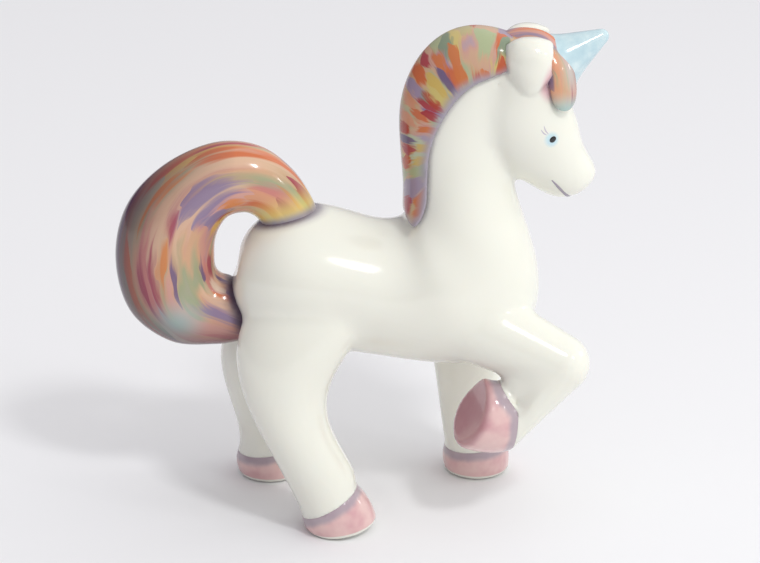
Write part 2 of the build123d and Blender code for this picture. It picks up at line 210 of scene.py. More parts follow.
class FigurineColours(bpy.types.PropertyGroup):
    """Glaze colours of the figurine"""
    ivory: colour("Ivory", "White glaze of body, head and legs", "EFEFE3")
    lavender: colour("Lavender", "Outlines, bands and lines", "A19AA6")
    # Deep lavender is painted shade: on the tail's outer edge, the forelock's left edge, the lower mane crest and under
    # the tail.
    shade_lavender: colour("Deep lavender", "Darkest outline beside tail and forelock", "4A3048")
    aqua: colour("Aqua", "Ends of tail and forelock", "A8CDC8")
    yellow: colour("Yellow", "Root of the tail", "E8D77A")
    lash: colour("Lash", "Lash lines", "C3BACB")
    eye_blue: colour("Eye blue", "Ring round the eyes", "C9E4EB")
    pupil: colour("Pupil", "Black of the eyes", "0B0B12")
    ear_pink: colour("Ear pink", "Hollow of the ears", "E3BFC2")
    hoof_pink: colour("Hoof pink", "Glaze of the hooves", "D49CA0")
    # Sole pink is painted shade on the sole of the raised hoof.
    sole_shade_pink: colour("Sole pink", "Sole of the raised hoof", "A8707A")
    horn_blue: colour("Horn blue", "Glaze of the horn", "AFDAE6")
    floor: colour("Floor", "Floor of the stage", "F2F2F4")


def place(points):
    """Drawing millimetres to metres in the part's frame."""
    return (np.asarray(points, float) + DRAWING_ORIGIN) * MM


def mirrored(spot, side):
    """Place as given (side 1), or its mirror on the other side (side -1)."""
    return np.array([spot[0], side * spot[1], spot[2]])


def new_object(name, mesh):
    """Object of that mesh, smooth, at the origin."""
    mesh.name = name
    mesh.shade_smooth()
    item = bpy.data.objects.new(name, mesh)
    bpy.context.scene.collection.objects.link(item)
    return item


def grid_mesh(name, points):
    """Closed surface from a grid (rows, columns, 3) that is round in its columns: neighbours of the grid share a quad,
    and the first and last row are each closed by one face."""
    rows, columns = points.shape[:2]
    index = np.arange(rows * columns).reshape(rows, columns)
    near, far = index[:-1], index[1:]
    quads = np.stack([near, np.roll(near, -1, 1), np.roll(far, -1, 1), far], -1).reshape(-1, 4)
    mesh = bpy.data.meshes.new(name)
    mesh.from_pydata(points.reshape(-1, 3).tolist(), [],
                     quads.tolist() + [index[0][::-1].tolist(), index[-1].tolist()])
    outward(mesh)
    return mesh


def outward(mesh):
    """All faces of a closed mesh turned outwards."""
    work = bmesh.new()
    work.from_mesh(mesh)
    bmesh.ops.recalc_face_normals(work, faces=work.faces[:])
    work.to_mesh(mesh)
    work.free()


def vertices(mesh):
    """Places of a mesh's points as an array."""
    flat = np.empty(len(mesh.vertices) * 3)
    mesh.vertices.foreach_get("co", flat)
    return flat.reshape(-1, 3)


def set_attribute(mesh, name, values):
    """Number, or triple, for each point of a mesh, for the material to read."""
    values = np.asarray(values, np.float32)
    triple = values.ndim == 2
    layer = mesh.attributes.new(name, "FLOAT_VECTOR" if triple else "FLOAT", "POINT")
    layer.data.foreach_set("vector" if triple else "value", values.ravel())


def through(rows, count):
    """Smooth table through the given rows: cubic pieces whose slope at a row is the mean slope of its neighbours."""
    rows = np.asarray(rows, float)
    knots = np.arange(len(rows), dtype=float)
    slopes = np.gradient(rows, axis=0)
    at = np.linspace(0.0, knots[-1], count)
    left = np.minimum(at.astype(int), len(rows) - 2)
    t = (at - left)[:, None]
    a, b = rows[left], rows[left + 1]
    return ((1 + 2 * t) * (1 - t) ** 2 * a + t * (1 - t) ** 2 * slopes[left]
            + t * t * (3 - 2 * t) * b + t * t * (t - 1) * slopes[left + 1])


def unit(vectors):
    """Vectors brought to length one."""
    return vectors / np.linalg.norm(vectors, axis=-1, keepdims=True)


def cast_copy(nodes, grain):
    """One closed mesh round the given solids, as a cast that takes their outside in one go, with points every grain."""
    work = bmesh.new()
    for name in nodes:
        work.from_mesh(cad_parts[name].data)
    bmesh.ops.remove_doubles(work, verts=work.verts[:], dist=1e-7)
    mesh = bpy.data.meshes.new("cast")
    work.to_mesh(mesh)
    work.free()
    item = bpy.data.objects.new("cast", mesh)
    bpy.context.scene.collection.objects.link(item)
    remesh = item.modifiers.new("cast", "REMESH")
    remesh.mode = "VOXEL"
    remesh.voxel_size = grain
    whole = item.evaluated_get(bpy.context.evaluated_depsgraph_get())
    cast = bpy.data.meshes.new_from_object(whole)
    bpy.data.objects.remove(item)
    return cast


def summed(index, values, count):
    """Sum of the values (n, 3) that share an index."""
    return np.stack([np.bincount(index, values[:, k], count) for k in range(3)], -1)


def slip_smoothed(mesh, rounds, weight, finish=12, melt=None):
    """Points moved as slip rounds a join: each round takes a point part of the way to the mean of its neighbours, but
    only where that lies outwards along its normal, so creases fill and edges stay. A last finish of paired steps,
    in and then slightly further out, takes the grain off and keeps the volume. Where melt is given, corners sink as
    in a melting glaze, by that share."""
    points = vertices(mesh)
    count = len(points)
    edges = np.empty(len(mesh.edges) * 2, np.int32)
    mesh.edges.foreach_get("vertices", edges)
    start, end = edges[0::2], edges[1::2]
    mesh.calc_loop_triangles()
    corners = np.empty(len(mesh.loop_triangles) * 3, np.int32)
    mesh.loop_triangles.foreach_get("vertices", corners)
    corners = corners.reshape(-1, 3)
    degree = np.bincount(edges, minlength=count)[:, None]

    def pull():
        sums = summed(start, points[end], count) + summed(end, points[start], count)
        return sums / degree - points

    for _ in range(rounds):
        a, b, c = (points[corners[:, k]] for k in range(3))
        across = np.cross(b - a, c - a)
        normal = unit(summed(corners.ravel(), np.repeat(across, 3, 0), count) + 1e-20)
        rise = np.maximum((pull() * normal).sum(-1), 0.0)
        points = points + normal * (0.6 * weight * rise)[:, None]
    for _ in range(0 if melt is None else MELT_ROUNDS):
        points = points + 0.5 * melt[:, None] * pull()
    for _ in range(finish):
        points = points + 0.5 * pull()
        points = points - 0.52 * pull()
    mesh.vertices.foreach_set("co", points.ravel())
    mesh.update()


def joined(faces, point):
    """Those of the faces that hang together with the one nearest to a point."""
    left = set(faces)
    queue = [min(left, key=lambda face: (face.calc_center_median() - point).length_squared)]
    left.discard(queue[0])
    found = []
    while queue:
        face = queue.pop()
        found.append(face)
        for other in {other for edge in face.edges for other in edge.link_faces} & left:
            left.discard(other)
            queue.append(other)
    return found


def cut_hoof(skin, sole, planes):
    """Skin split along the planes beside a hoof, and the hoof's faces: those on the far side of every plane."""
    work = bmesh.new()
    work.from_mesh(skin)
    reach = HOOF_REACH * MM
    for spot, way in planes:
        near = {face for vertex in work.verts if (vertex.co - sole).length < reach for face in vertex.link_faces}
        edges = {edge for face in near for edge in face.edges}
        corners = {vertex for face in near for vertex in face.verts}
        bmesh.ops.bisect_plane(work, geom=[*corners, *edges, *near], dist=1e-7, plane_co=spot, plane_no=way)
    low = [face for face in work.faces if (face.calc_center_median() - sole).length < reach
           and all((face.calc_center_median() - spot).dot(way) > 0 for spot, way in planes)]
    return work, joined(low, sole)


def closed_part(work, faces):
    """Mesh of those faces alone, its open edge closed by one face."""
    keep = set(faces)
    part = work.copy()
    part.faces.ensure_lookup_table()
    work.faces.index_update()
    away = [part.faces[face.index] for face in work.faces if face not in keep]
    bmesh.ops.delete(part, geom=away, context="FACES")
    open_edges = [edge for edge in part.edges if edge.is_boundary]
    bmesh.ops.holes_fill(part, edges=open_edges, sides=0)
    bmesh.ops.recalc_face_normals(part, faces=part.faces[:])
    mesh = bpy.data.meshes.new("part")
    part.to_mesh(mesh)
    part.free()
    return mesh


def finish_piece(item, material, slot, *nodes):
    """Material, body and replaced solids of a piece. The slot is not used."""
    item.data.materials.clear()
    item.data.materials.append(material)
    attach(item, BODY)
    if nodes:
        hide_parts(*nodes)


def add(tree, kind, settings=None, values=None, links=None):
    """Node of that kind with its settings, its input values and the sockets that feed its inputs."""
    item = tree.nodes.new(kind)
    for key, value in (settings or {}).items():
        setattr(item, key, value)
    for key, value in (values or {}).items():
        item.inputs[key].default_value = value
    for key, socket in (links or {}).items():
        tree.links.new(socket, item.inputs[key])
    return item


def read(tree, name, socket="Fac"):
    """Socket of a piece's own attribute."""
    return add(tree, "ShaderNodeAttribute", {"attribute_name": name}).outputs[socket]


def smooth_step(tree, value, ends, reached=(1.0, 0.0)):
    """Socket that goes smoothly from the first number to the second while the value goes from end to end."""
    return add(tree, "ShaderNodeMapRange", {"interpolation_type": "SMOOTHSTEP"},
               {"From Min": ends[0], "From Max": ends[1], "To Min": reached[0], "To Max": reached[1]},
               {"Value": value}).outputs[0]


def painted(tree, under, tint, share):
    """Socket of the paint under it with a tint laid over, by that share."""
    return add(tree, "ShaderNodeMix", {"data_type": "RGBA"}, {"B": (*tint, 1)},
               {"Factor": share, "A": under}).outputs["Result"]


def glaze(name, base, roughness, coat):
    """Glazed ceramic: clear glassy glaze over a dense body, IOR of glass. Gives a wet gloss with small sharp
    highlights. Returns the material, its tree and its shader."""
    material = bpy.data.materials.new(name)
    material.use_nodes = True
    tree = material.node_tree
    shader = tree.nodes["Principled BSDF"]
    shader.inputs["Base Color"].default_value = (*base, 1)
    shader.inputs["Roughness"].default_value = roughness
    shader.inputs["IOR"].default_value = 1.5
    shader.inputs["Coat Weight"].default_value = coat
    shader.inputs["Coat Roughness"].default_value = 0.03
    return material, tree, shader


def ramp_colours(ramp, codes, kind="CONSTANT"):
    """Even stops of those sRGB colours on a colour ramp."""
    ramp.interpolation = kind
    while len(ramp.elements) < len(codes):
        ramp.elements.new(0.5)
    for step, (element, code) in enumerate(zip(ramp.elements, codes)):
        element.position = step / len(codes)
        element.color = (*linear(code), 1)


def eye_places():
    """Point and normal of the skin at each eye, right and then left, found along the line across the head."""
    skin = bpy.data.objects["white_glaze_skin"].data
    tree = BVHTree.FromPolygons([v.co for v in skin.vertices], [p.vertices for p in skin.polygons])
    found = []
    for side in (-1, 1):
        start = Vector(place((EYE[0], side * CLEAR_ASIDE, EYE[1])))
        spot, normal, _, _ = tree.ray_cast(start, Vector((0, -side, 0)))
        found.append((np.array(spot), np.array(normal)))
    return found


class FIGURINE_OT_skin(bpy.types.Operator):
    """White glazed skin over body, head, ears and legs, with creases filled as slip fills them"""
    bl_idname = "figurine.skin"
    bl_label = "White skin"

    def execute(self, context):
        sizes, colours = context.scene.figurine_sizes, context.scene.figurine_colours
        mesh = cast_copy(SKIN_NODES + tuple(HOOVES), sizes.grain)
        points = vertices(mesh) / MM - DRAWING_ORIGIN
        slip_smoothed(mesh, sizes.fillet_rounds, self.slip_share(points))
        self.shape(mesh)
        item = new_object("white_glaze_skin", mesh)
        finish_piece(item, self.material(colours, sizes), "white_glaze", *SKIN_NODES)
        return {"FINISHED"}

    def slip_share(self, points):
        """Share of slip that each point takes: one in open creases, less in the hollows of the ears and at jowls and
        ears, more at the nape, none at the vent."""
        weight = np.ones(len(points))
        for side in (-1, 1):
            hollow = (points - mirrored(EAR_HOLLOW, side)) / EAR_HOLLOW_STRETCH
            weight[np.linalg.norm(hollow, axis=1) < EAR_HOLLOW_RADIUS] = EAR_HOLLOW_SLIP
        for side in (-1, 1):
            for middle, stretch, radius, change, least in HELD_BACK:
                away = np.linalg.norm((points - mirrored(middle, side)) / stretch, axis=1)
                weight = np.minimum(weight, least + (1 - least) * np.clip((away - radius) / change, 0, 1))
            nape = np.linalg.norm(points - mirrored(NAPE, side), axis=1)
            weight = np.maximum(weight, NAPE_SLIP * np.clip((NAPE_RADIUS - nape) / NAPE_CHANGE, 0, 1))
        vent = np.hypot(points[:, 0] - VENT[0], points[:, 1] - VENT[1]) < VENT_CLEAR
        weight[vent & (points[:, 2] < VENT[2] + VENT_HEIGHT)] = 0.0
        return weight

    def shape(self, mesh):
        """Ears swelled outwards by half an egg each, and the flanks by a low bell between haunch and shoulder."""
        points = vertices(mesh) / MM - DRAWING_ORIGIN
        x, y, z = points.T
        narrow = 1.0 - EAR_TAPER * np.clip((EAR_EGG[1] - z) / EAR_EGG[3], 0, 1)
        away = np.hypot((x - EAR_EGG[0]) / (EAR_EGG[2] * narrow), (z - EAR_EGG[1]) / EAR_EGG[3])
        outside = np.clip((np.abs(y) - EAR_SIDE) / EAR_SIDE_CHANGE, 0, 1)
        swell = EAR_SWELL * np.sqrt(np.clip(1.0 - away ** 2, 0, 1)) * outside
        bell = np.exp(-((x - FLANK[0]) / FLANK_REACH[0]) ** 2) * fade(np.abs(z - FLANK[1]), FLANK_REACH[1])
        bell = FLANK_SWELL * bell * np.clip((np.abs(y) - FLANK_SIDE) / FLANK_SIDE_CHANGE, 0, 1)
        points[:, 1] += np.sign(y) * (swell + bell)
        mesh.vertices.foreach_set("co", place(points).ravel())
        slip_smoothed(mesh, 0, np.zeros(len(points)), 3)

    def material(self, colours, sizes):
        """Ivory glazed earthenware, dipped: even warm white, wet gloss, with airbrushed blue and pink on eyes, ears."""
        material, tree, shader = glaze("ivory dipped ceramic glaze", colours.ivory, 0.16, 0.5)
        shader.inputs["Subsurface Weight"].default_value = 0.12
        shader.inputs["Subsurface Radius"].default_value = (1.0, 0.8, 0.6)
        shader.inputs["Subsurface Scale"].default_value = 2.0 * MM
        where = add(tree, "ShaderNodeTexCoord").outputs["Object"]
        paint = None
        eyes = [place((EYE[0], side * EYE_ASIDE, EYE[1])) for side in (-1, 1)]
        marks = [(spot, sizes.eye_halo, 1.0, colours.eye_blue) for spot in eyes]
        marks += [(place(mirrored(EAR_PINK, side)), EAR_PINK_RADIUS * MM, EAR_PINK_TALL, colours.ear_pink)
                  for side in (-1, 1)]
        for spot, radius, tall, tint in marks:
            away = add(tree, "ShaderNodeVectorMath", {"operation": "SUBTRACT"}, {1: tuple(spot)}, {0: where})
            shaped = add(tree, "ShaderNodeVectorMath", {"operation": "MULTIPLY"}, {1: (1, 1, 1 / tall)},
                         {0: away.outputs[0]})
            far = add(tree, "ShaderNodeVectorMath", {"operation": "LENGTH"}, None, {0: shaped.outputs[0]})
            soft = smooth_step(tree, far.outputs["Value"], (0.6 * radius, 1.25 * radius))
            mix = add(tree, "ShaderNodeMix", {"data_type": "RGBA"}, {"A": (*colours.ivory, 1), "B": (*tint, 1)},
                      {"Factor": soft})
            if paint:
                tree.links.new(paint, mix.inputs["A"])
            paint = mix.outputs["Result"]
        paint = painted(tree, paint, colours.lavender, read(tree, "outline"))
        # Painted shade: deep lavender on the skin below the tail.
        paint = painted(tree, paint, colours.shade_lavender, read(tree, "shade_under_tail"))
        tree.links.new(paint, shader.inputs["Base Color"])
        return material


class FIGURINE_OT_hooves(bpy.types.Operator):
    """Pink glazed hooves with a lavender band at the coronet and a bare white rim at the sole"""
    bl_idname = "figurine.hooves"
    bl_label = "Hooves"

    def execute(self, context):
        sizes, colours = context.scene.figurine_sizes, context.scene.figurine_colours
        skin = bpy.data.objects["white_glaze_skin"].data
        material = self.material(colours, sizes)
        for name, (sole, facing, planes) in HOOVES.items():
            cuts = [(Vector(place(spot)), Vector(way).normalized()) for spot, way in planes]
            work, low = cut_hoof(skin, Vector(place(sole)), cuts)
            hoof = closed_part(work, low)
            low = set(low)
            rest = closed_part(work, [face for face in work.faces if face not in low])
            work.free()
            self.take_over(skin, rest)
            points = vertices(hoof)
            raised = facing[2] > 0
            below = np.min([(points - np.array(spot)) @ np.array(way) for spot, way in cuts], axis=0)
            set_attribute(hoof, "below_coronet", below)
            rim = (place(sole) - points) @ unit(np.array(facing))
            if raised:
                hoof.vertices.foreach_set("co", self.drop(points, below).ravel())
            set_attribute(hoof, "above_sole", rim + (2 * sizes.bare_rim if raised else 0.0))
            # Painted shade: the raised hoof's sole goes darker pink.
            set_attribute(hoof, "sole_shade", fade(rim, 1.4 * sizes.bare_rim) * (0.7 if raised else 0.0))
            finish_piece(new_object(name + "_glaze", hoof), material, "hoof_glaze", name)
        skin.shade_smooth()
        return {"FINISHED"}

    def drop(self, points, below):
        """Raised hoof drawn together and up towards its top, as a drop, but not where it meets its leg."""
        drawn = points / MM - DRAWING_ORIGIN
        high = np.clip((drawn[:, 2] - DROP_FROM) / DROP_HEIGHT, 0, 1) * np.clip(below / (DROP_KEPT * MM), 0, 1)
        for axis in (0, 1):
            drawn[:, axis] += (DROP_TOP[axis] - drawn[:, axis]) * DROP_DRAW[axis] * high ** DROP_BEND
        drawn[:, 2] += DROP_LIFT * high
        return place(drawn)

    def take_over(self, skin, rest):
        """The skin goes on without the hoof."""
        work = bmesh.new()
        work.from_mesh(rest)
        work.to_mesh(skin)
        work.free()
        bpy.data.meshes.remove(rest)

    def material(self, colours, sizes):
        """Pink glazed earthenware, brushed on: thin streaky coat, lavender where it laps the leg, bare at the sole,
        with painted shade in darker pink on the raised hoof's sole.
        """
        material, tree, shader = glaze("pink brushed ceramic glaze", colours.hoof_pink, 0.16, 0.5)
        where = add(tree, "ShaderNodeTexCoord").outputs["Object"]
        blotch = add(tree, "ShaderNodeTexNoise", None, {"Scale": 1 / (4 * MM), "Detail": 2.0}, {"Vector": where})
        wash = add(tree, "ShaderNodeValToRGB", None, None, {"Fac": blotch.outputs["Fac"]})
        ramp_colours(wash.color_ramp, ["C48A91", "D6A6A9", "E2BCB9", "E8C8C2"], "LINEAR")
        wavy = add(tree, "ShaderNodeMath", {"operation": "MULTIPLY_ADD"}, {1: 1.2 * MM, 2: -0.6 * MM},
                   {0: blotch.outputs["Fac"]})
        edge = add(tree, "ShaderNodeMath", {"operation": "ADD"}, None,
                   {0: read(tree, "below_coronet"), 1: wavy.outputs[0]})
        band = smooth_step(tree, edge.outputs[0], (0.6 * sizes.coronet_band, 1.5 * sizes.coronet_band), (0.75, 0.0))
        paint = painted(tree, wash.outputs["Color"], colours.lavender, band)
        paint = painted(tree, paint, colours.sole_shade_pink, read(tree, "sole_shade"))
        rim = smooth_step(tree, read(tree, "above_sole"), (0.75 * sizes.bare_rim, 1.05 * sizes.bare_rim))
        tree.links.new(painted(tree, paint, colours.ivory, rim), shader.inputs["Base Color"])
        return material


# Brush layers, lower ones first: shift of the pattern, size against a stroke, share of strokes left out, colours.
DAB_LAYERS = (
    ((0.0, 0.0), 1.3, 0.1, ("B9AE7E", "A8B48C", "9C8BA2", "CBB872", "C99A78", "B7BFA0")),
    ((5.3, 2.1), 1.05, 0.3, ("C66840", "A8B088", "8E7C98", "C9AC62", "CF8F70", "7F8F78")),
    ((9.7, 7.9), 0.95, 0.45, ("A4363C", "BC5434", "A8444C", "C87444", "6F5E7C", "AE443A")),
)
STREAK_LAYERS = (
    ((0.0, 0.0), 1.4, 0.1, ("DB9A78", "D98F58", "97879E", "DCB79A", "ABAE90", "D8A296")),
    ((5.3, 2.1), 1.0, 0.35, ("D67440", "B0A892", "8C7C9C", "DFA07C", "DDB05C", "C9807A")),
    ((9.7, 7.9), 0.66, 0.5, ("A83C4A", "CC6838", "A84C5C", "D98648", "6F5C80", "E3CDB6")),
)
DAB_GROUND = ("A493A4", "B5AC94", "A9AF8C", "C9A586", "C79A8C", "A898A8")
STREAK_GROUND = ("96849A", "ACA494", "A2A684", "D2A684", "CC958A", "9C8BA0")


def rainbow_glaze(name, colours, ground_codes, layers, soft, cover_most):
    """Rainbow of underglaze strokes, brushed on by hand, under clear glaze: strokes of flat colour laid over each
    other, with edges as soft as given, wet gloss. The piece's own stroke attribute counts strokes across (x) and along
    (y) the hair, its border attribute goes from 1 at the outline to 0, and its tints_and_shade attribute holds the
        shares
    of deep lavender painted shade, aqua and yellow."""
    material, tree, shader = glaze(name, RAINBOW_BASE, 0.15, 0.15)
    shader.inputs["Specular IOR Level"].default_value = 0.35
    stroke = read(tree, "stroke", "Vector")
    wobble = add(tree, "ShaderNodeTexNoise", {"noise_dimensions": "2D"}, {"Scale": 1.1, "Detail": 2.0},
                 {"Vector": stroke})
    shift = add(tree, "ShaderNodeVectorMath", {"operation": "MULTIPLY_ADD"}, {1: (0.9, 0.7, 0), 2: (-0.45, -0.35, 0)},
                {0: wobble.outputs["Color"]})
    bent = add(tree, "ShaderNodeVectorMath", {"operation": "ADD"}, None, {0: stroke, 1: shift.outputs[0]})
    hairs = add(tree, "ShaderNodeVectorMath", {"operation": "MULTIPLY"}, {1: (6.0, 0.8, 0)}, {0: bent.outputs[0]})
    bristle = add(tree, "ShaderNodeTexNoise", {"noise_dimensions": "2D"}, {"Scale": 1.0, "Detail": 2.0},
                  {"Vector": hairs.outputs[0]})
    fray = add(tree, "ShaderNodeMath", {"operation": "MULTIPLY_ADD"}, {1: 0.5, 2: -0.25}, {0: bristle.outputs["Fac"]})
    wash = add(tree, "ShaderNodeTexNoise", {"noise_dimensions": "2D"}, {"Scale": 0.9, "Detail": 1.0},
               {"Vector": bent.outputs[0]})
    ground = add(tree, "ShaderNodeValToRGB", None, None, {"Fac": wash.outputs["Fac"]})
    ramp_colours(ground.color_ramp, ground_codes, "LINEAR")
    paint = ground.outputs["Color"]
    for (right, up), size, spared, codes in layers:
        moved = add(tree, "ShaderNodeVectorMath", {"operation": "ADD"}, {1: (right, up, 0)}, {0: bent.outputs[0]})
        dabs = add(tree, "ShaderNodeTexVoronoi", {"voronoi_dimensions": "2D"}, {"Scale": 1 / size},
                   {"Vector": moved.outputs[0]})
        pick = add(tree, "ShaderNodeSeparateColor", None, None, {"Color": dabs.outputs["Color"]})
        coat = add(tree, "ShaderNodeValToRGB", None, None, {"Fac": pick.outputs["Red"]})
        ramp_colours(coat.color_ramp, codes)
        frayed = add(tree, "ShaderNodeMath", {"operation": "ADD"}, None,
                     {0: dabs.outputs["Distance"], 1: fray.outputs[0]})
        inside = smooth_step(tree, frayed.outputs[0], (0.4 - soft, 0.4 + soft), (cover_most, 0.0))
        laid = add(tree, "ShaderNodeMath", {"operation": "GREATER_THAN"}, {1: spared}, {0: pick.outputs["Green"]})
        cover = add(tree, "ShaderNodeMath", {"operation": "MULTIPLY"}, None, {0: inside, 1: laid.outputs[0]})
        mix = add(tree, "ShaderNodeMix", {"data_type": "RGBA"}, None,
                  {"Factor": cover.outputs[0], "A": paint, "B": coat.outputs["Color"]})
        paint = mix.outputs["Result"]
    shares = add(tree, "ShaderNodeSeparateXYZ", None, None, {"Vector": read(tree, "tints_and_shade", "Vector")}).outputs
    # The X share lays deep lavender painted shade over the rest, last.
    for share, tint in ((shares["Z"], colours.yellow), (shares["Y"], colours.aqua),
                        (read(tree, "border"), colours.lavender), (shares["X"], colours.shade_lavender)):
        paint = painted(tree, paint, tint, share)
    tree.links.new(paint, shader.inputs["Base Color"])
    return material


def fade(distance, width):
    """1 at distance nought, falling smoothly to 0 at the width."""
    t = np.clip(1.0 - np.asarray(distance) / width, 0.0, 1.0)
    return t * t * (3.0 - 2.0 * t)


def nearest(points, others, chunk=800):
    """Distance from each point to the nearest of the others, a block of points at a time."""
    found = [np.sqrt(((points[i:i + chunk, None] - others[None]) ** 2).sum(-1).min(1))
             for i in range(0, len(points), chunk)]
    return np.concatenate(found)


def skin_near(low, high):
    """Points of the white skin inside a box."""
    points = vertices(bpy.data.objects["white_glaze_skin"].data)
    return points[((points > low) & (points < high)).all(1)]


class FIGURINE_OT_mane(bpy.types.Operator):
    """Mane: raised pad of hair over the crest, in rainbow dabs with a lavender border and painted shade along the lower
    crest
    """
    bl_idname = "figurine.mane"
    bl_label = "Mane"

    def execute(self, context):
        sizes, colours = context.scene.figurine_sizes, context.scene.figurine_colours
        mesh = cast_copy(["mane"], sizes.hair_grain)
        foot = np.clip((MANE_FOOT - vertices(mesh)[:, 2] / MM) / MANE_FOOT_CHANGE, 0, 1)
        slip_smoothed(mesh, 10, np.ones(len(foot)), 14, foot)
        item = new_object("mane_glaze", mesh)
        drawn = vertices(mesh) / MM - DRAWING_ORIGIN
        out = drawn - MANE_MIDDLE
        radius = np.hypot(out[:, 0], out[:, 2])
        round_crest = np.unwrap(np.arctan2(out[:, 2], out[:, 0])) * MANE_RADII[0]
        over_crest = np.arctan2(out[:, 1], radius) * MANE_RADII[1]
        set_attribute(mesh, "stroke", np.stack([round_crest * MM / sizes.dab_width,
                                                over_crest * MM / sizes.dab_length, 0 * radius], -1))
        line = np.stack([np.interp(np.linspace(0, 1, 300), np.linspace(0, 1, len(MANE_BORDER)), MANE_BORDER[:, k])
                         for k in (0, 1)], -1)
        set_attribute(mesh, "border", fade(nearest(drawn[:, [0, 2]], line) * MM, 1.6 * sizes.border))
        # Painted shade: deep lavender along the middle of the crest, low down.
        crest = CREST_DEPTH * fade(np.abs(drawn[:, 1]), CREST_SHADE_WIDTH)
        crest = crest * np.clip((CREST_BELOW - drawn[:, 2]) / CREST_CHANGE, 0, 1)
        set_attribute(mesh, "tints_and_shade", np.stack([crest, 0 * crest, 0 * crest], -1))
        rainbow = rainbow_glaze("rainbow dabbed ceramic glaze", colours, DAB_GROUND, DAB_LAYERS, 0.12, 0.95)
        finish_piece(item, rainbow, "rainbow_glaze", "mane")
        return {"FINISHED"}


class FIGURINE_OT_forelock(bpy.types.Operator):
    """Forelock: flat lock of hair that falls on the right side of the forehead. Each place on its fall carries an
    ellipse, half width across the lock times cosine and half thickness out of the forehead times sine"""
    bl_idname = "figurine.forelock"
    bl_label = "Forelock"

    def execute(self, context):
        sizes = context.scene.figurine_sizes
        table = through(FORELOCK_FALL, 60)
        centre = table[:, :3]
        run = unit(np.gradient(centre, axis=0))
        across = unit(np.cross(run, FORELOCK_FACING))
        out = np.cross(across, run)
        turn = np.linspace(0, 2 * math.pi, 40, endpoint=False)
        points = (centre[:, None] + across[:, None] * (table[:, 3, None] * np.cos(turn))[..., None]
                  + out[:, None] * (table[:, 4, None] * np.sin(turn))[..., None])
        mesh = grid_mesh("forelock", place(points))
        along = np.concatenate([[0], np.cumsum(np.linalg.norm(np.diff(centre, axis=0), axis=1))])
        side = table[:, 3, None] * np.cos(turn)
        down = np.broadcast_to(along[:, None], side.shape)
        stroke = np.stack([side * MM / sizes.dab_width * 1.6 + 9.0, down * MM / (0.7 * sizes.streak_length),
                           0 * side], -1)
        set_attribute(mesh, "stroke", stroke.reshape(-1, 3))
        set_attribute(mesh, "border", np.zeros(side.size))
        fall = along[:, None] / along[-1] + 0 * side
        # Painted shade on the left edge, pale middle and aqua tip.
        left = 0.8 * fade(np.abs(turn - math.pi), 1.3) * fade(np.abs(fall - 0.7), 0.3)
        pale = 0.5 * fade(np.abs(turn - 0.6 * math.pi), 0.9) * fade(np.abs(fall - 0.7), 0.25)
        aqua = np.maximum(pale, 0.85 * fade(1.0 - fall, 0.2))
        set_attribute(mesh, "tints_and_shade", np.stack([left, aqua, 0 * fall], -1).reshape(-1, 3))
        rainbow = bpy.data.materials["rainbow streaked ceramic glaze"]
        finish_piece(new_object("forelock_glaze", mesh), rainbow, "rainbow_glaze", "forelock")
        return {"FINISHED"}


class FIGURINE_OT_tail(bpy.types.Operator):
    """Tail: thick curl with long rainbow streaks that follow it. Each section is an ellipse: from the middle of its
    outer and inner edge, half their distance times cosine in the plane of the curl, half width times sine across"""
    bl_idname = "figurine.tail"
    bl_label = "Tail"

    def execute(self, context):
        sizes, colours = context.scene.figurine_sizes, context.scene.figurine_colours
        table = through(TAIL_SECTIONS, 200)
        outer, inner = table[:, 0:2], table[:, 2:4]
        centre, half = (outer + inner) / 2, (outer - inner) / 2
        turn = np.linspace(0, 2 * math.pi, 96, endpoint=False)
        flat = centre[:, None] + half[:, None] * np.cos(turn)[None, :, None]
        side = table[:, 4, None] * np.sin(turn)
        points = place(np.stack([flat[..., 0], side, flat[..., 1]], -1))
        mesh = grid_mesh("tail", points)
        step = np.linalg.norm(np.diff(centre, axis=0), axis=1)
        along = np.concatenate([[0], np.cumsum(step)])[:, None] + 0 * side
        around = (np.linalg.norm(half, axis=1) * 0.5 + table[:, 4] * 0.5)[:, None] * (turn - math.pi)
        stroke = np.stack([np.abs(around) * MM / sizes.streak_width + (side > 0) * 40.0,
                           along * MM / sizes.streak_length, 0 * side], -1)
        set_attribute(mesh, "stroke", stroke.reshape(-1, 3))
        flesh = skin_near(points.min((0, 1)) - 0.004, points.max((0, 1)) + 0.004)[::2]
        to_flesh = nearest(points.reshape(-1, 3), flesh)
        set_attribute(mesh, "border", fade(to_flesh, 1.4 * sizes.border))
        share = along / along.max()
        edge = np.minimum(turn, 2 * math.pi - turn)[None]
        # Painted shade: dark along the outer edge from the top of the curl on, and where its end rests on the rump.
        # Aqua near the end, yellow at the root.
        deep = 0.97 * fade(edge, 2.0) * np.clip((share - 0.3) / 0.22, 0, 1) ** 0.7
        low = np.clip((66.0 - points[..., 2] / MM) / 4.0, 0, 1)
        deep = np.maximum(deep, 0.85 * low * fade(to_flesh.reshape(side.shape), 2.2 * sizes.border))
        aqua = 0.8 * fade(np.abs(share - 0.82), 0.09) * fade(np.abs(edge - 1.3), 0.8)
        yellow = 0.85 * (1.0 - low) * fade(to_flesh.reshape(side.shape), 4.5 * sizes.border)
        set_attribute(mesh, "tints_and_shade", np.stack([deep, aqua, yellow], -1).reshape(-1, 3))
        rainbow = rainbow_glaze("rainbow streaked ceramic glaze", colours, STREAK_GROUND, STREAK_LAYERS, 0.2, 0.9)
        finish_piece(new_object("tail_glaze", mesh), rainbow, "rainbow_glaze", "tail")
        return {"FINISHED"}


